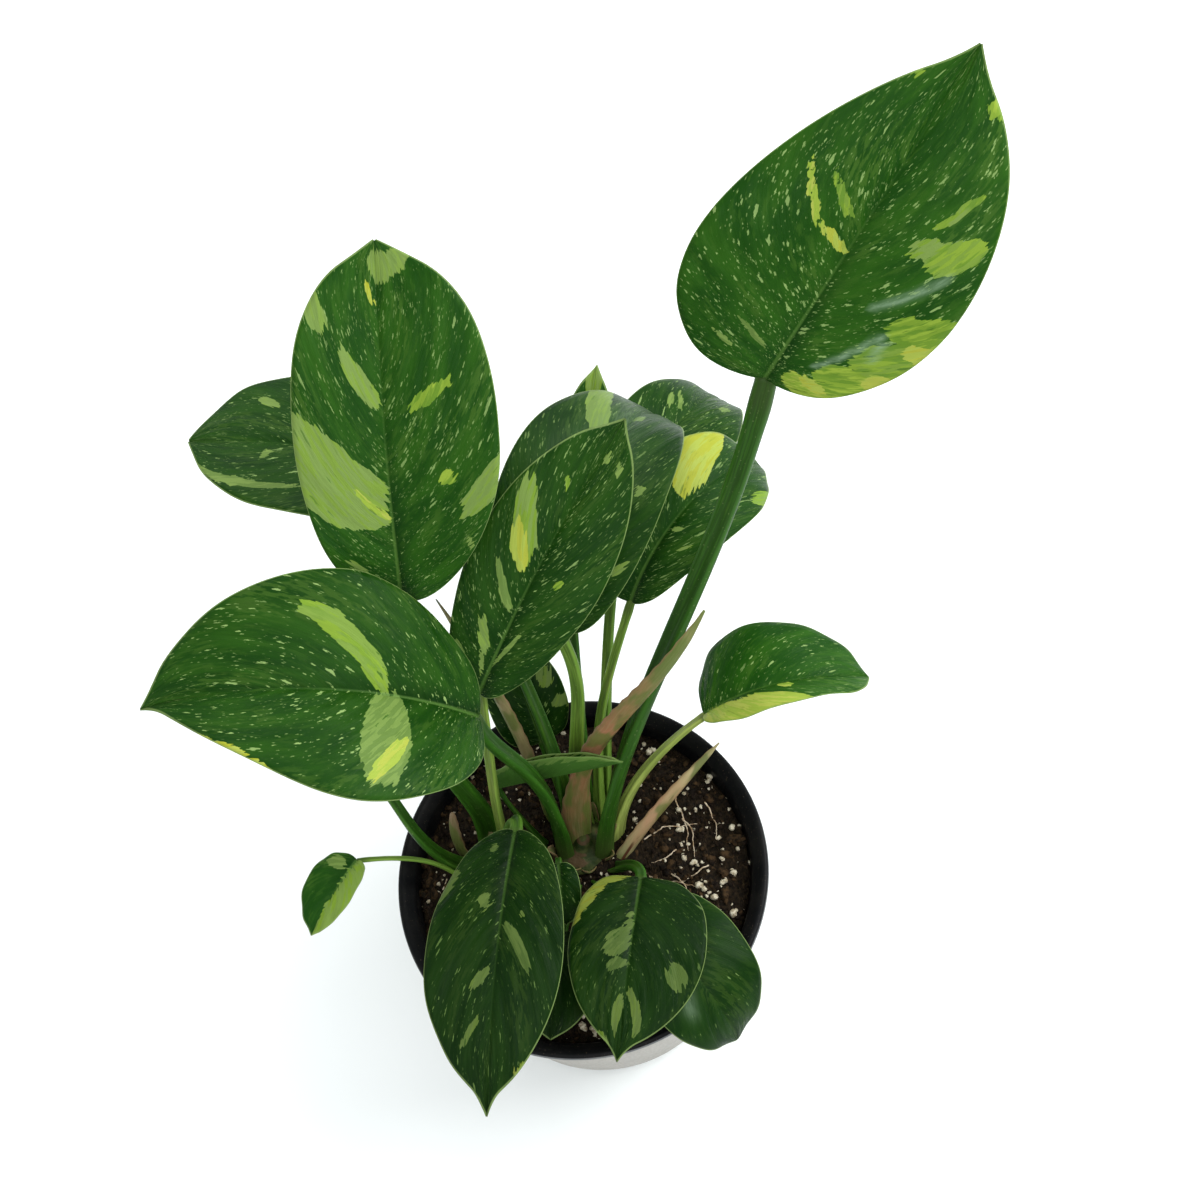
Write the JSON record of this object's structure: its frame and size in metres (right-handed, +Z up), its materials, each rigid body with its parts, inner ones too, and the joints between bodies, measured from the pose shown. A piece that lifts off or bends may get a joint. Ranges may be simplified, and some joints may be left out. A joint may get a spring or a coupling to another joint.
{
  "type": "potted variegated philodendron",
  "caption": "Bushy variegated philodendron with speckled green leaves on channelled stalks, growing from sheathed crowns in a round nursery pot of gritty mix.",
  "frame": {"origin": "centre of the pot's flat base", "axes": "+Z up along the pot's axis, +X to the right and +Y to the back, seen from the front"},
  "size_m": [0.3036, 0.2722, 0.3694],
  "materials": {
    "pot": "satin black moulded plastic, with a pale outer wall below the rim",
    "mix": "moist dark peat and bark mix with white perlite, bark bits and fine cream roots",
    "stem": "olive-green knotty stem, matte",
    "leaf": "satin gloss dark-green leaf with pale speckles, yellow-green patches and a thin pale margin",
    "stalk": "satin mid-green leaf stalk, paler at its edges",
    "sheath": "fading tan and pink papery sheath, green towards its tip"
  },
  "bodies": {
    "root": {"pot": "pot", "mix": "mix", "stem_main": "stem", "stem_left": "stem", "leaf_tall": "leaf", "stalk_tall": "stalk", "leaf_upper_left": "leaf", "stalk_upper_left": "stalk", "leaf_back_left": "leaf", "stalk_back_left": "stalk", "leaf_left": "leaf", "stalk_left": "stalk", "leaf_centre": "leaf", "stalk_centre": "stalk", "leaf_arched_middle": "leaf", "stalk_arched_middle": "stalk", "leaf_behind_middle": "leaf", "stalk_behind_middle": "stalk", "leaf_arched_back": "leaf", "stalk_arched_back": "stalk", "leaf_arched_right": "leaf", "stalk_arched_right": "stalk", "leaf_small_right": "leaf", "stalk_small_right": "stalk", "leaf_front_left": "leaf", "stalk_front_left": "stalk", "leaf_front_middle": "leaf", "stalk_front_middle": "stalk", "leaf_front_right": "leaf", "stalk_front_right": "stalk", "leaf_inner": "leaf", "stalk_inner": "stalk", "leaf_under_left": "leaf", "stalk_under_left": "stalk", "leaf_tiny_left": "leaf", "stalk_tiny_left": "stalk", "leaf_front_low": "leaf", "stalk_front_low": "stalk", "leaf_tiny_front": "leaf", "stalk_tiny_front": "stalk", "leaf_rolled": "leaf", "stalk_rolled": "stalk", "sheath_broad": "sheath", "sheath_slender": "sheath", "sheath_upright": "sheath", "sheath_short": "sheath"}
  },
  "joints": []
}
